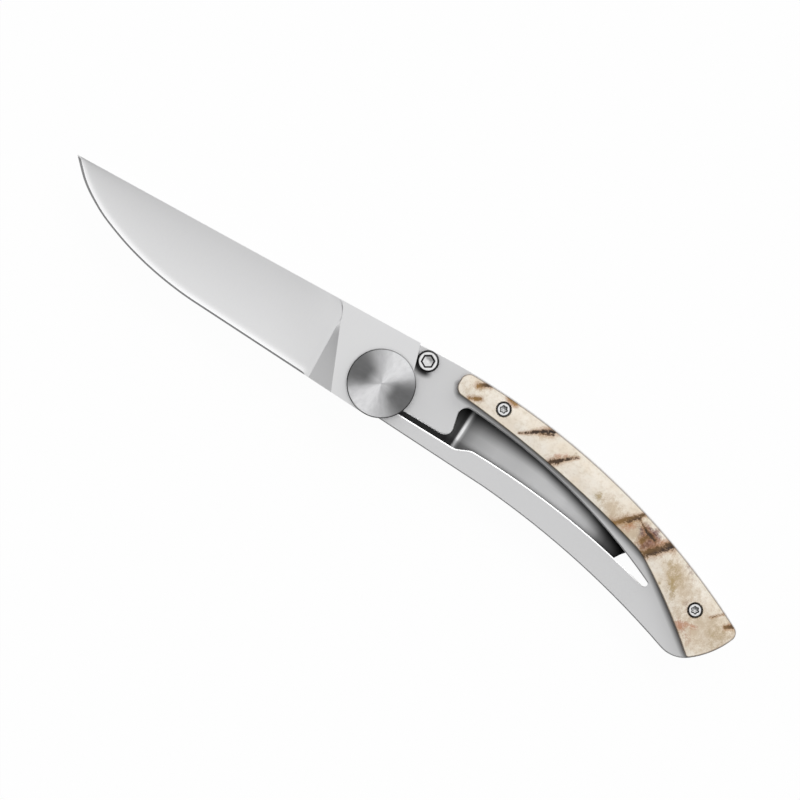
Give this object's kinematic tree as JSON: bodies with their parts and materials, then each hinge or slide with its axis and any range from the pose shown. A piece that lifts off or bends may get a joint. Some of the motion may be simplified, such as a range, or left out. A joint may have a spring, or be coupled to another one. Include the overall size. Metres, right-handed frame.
{
  "type": "folding pocket knife",
  "caption": "Single-blade folding pocket knife with an arched one-plate steel frame lock, a horn scale, a large turned pivot disc and a pocket clip, shown open.",
  "frame": {"origin": "on the pivot's axis, on the flat back face of the pivot nut, which with the clip's flat carries the knife when it lies on its back", "axes": "+X along the handle from the blade's tip to the butt, parallel to the spine of the open blade; +Y towards the spine; +Z out of the front face, towards the pivot disc"},
  "size_m": [0.1983, 0.0375, 0.0099],
  "materials": {
    "blade_steel": "fine satin, ground across the blade",
    "frame_steel": "even bead-blasted satin with bright broken edges",
    "turned_steel": "circular turning marks",
    "bright_steel": "polished",
    "spring_steel": "satin, brushed lengthwise",
    "bronze": "plain bearing bronze",
    "horn": "polished ram's horn, cream with brown growth lines"
  },
  "bodies": {
    "handle": {"handle_frame": "frame_steel", "pivot_disc": "turned_steel", "front_washer": "bronze", "rear_washer": "bronze", "pivot_nut": "turned_steel", "stop_screw": "bright_steel", "horn_scale": "horn", "front_scale_screw": "bright_steel", "rear_scale_screw": "bright_steel", "clip_pad": "spring_steel", "upper_clip_screw": "bright_steel", "lower_clip_screw": "bright_steel"},
    "blade": {"blade": "blade_steel", "pivot_bush": "bronze"},
    "lock_bar": {"lock_bar": "frame_steel", "detent_ball": "bright_steel"},
    "clip": {"clip_arm": "spring_steel"}
  },
  "joints": [
    {"name": "blade_fold", "type": "hinge", "parent": "handle", "child": "blade", "pos_m": [0, 0, 0.00623], "axis": [0, 0, 1], "range_deg": [0, 174.9], "deforming": ["lock_bar", "detent_ball"]},
    {"name": "lock_bar_flex", "type": "hinge", "parent": "handle", "child": "lock_bar", "pos_m": [0.07955, -0.01686, 0.0034], "axis": [-0.307, -0.9517, 0], "range_deg": [0, 1.03]},
    {"name": "clip_flex", "type": "hinge", "parent": "handle", "child": "clip", "pos_m": [0.01956, 0.0008, 0.0017], "axis": [0, 1, 0], "range_deg": [0, 3], "stiffness_Nm_per_rad": 2}
  ],
  "couplings": [
    {"joint": "lock_bar_flex", "follows": "blade_fold", "ratio": 0.005889}
  ]
}
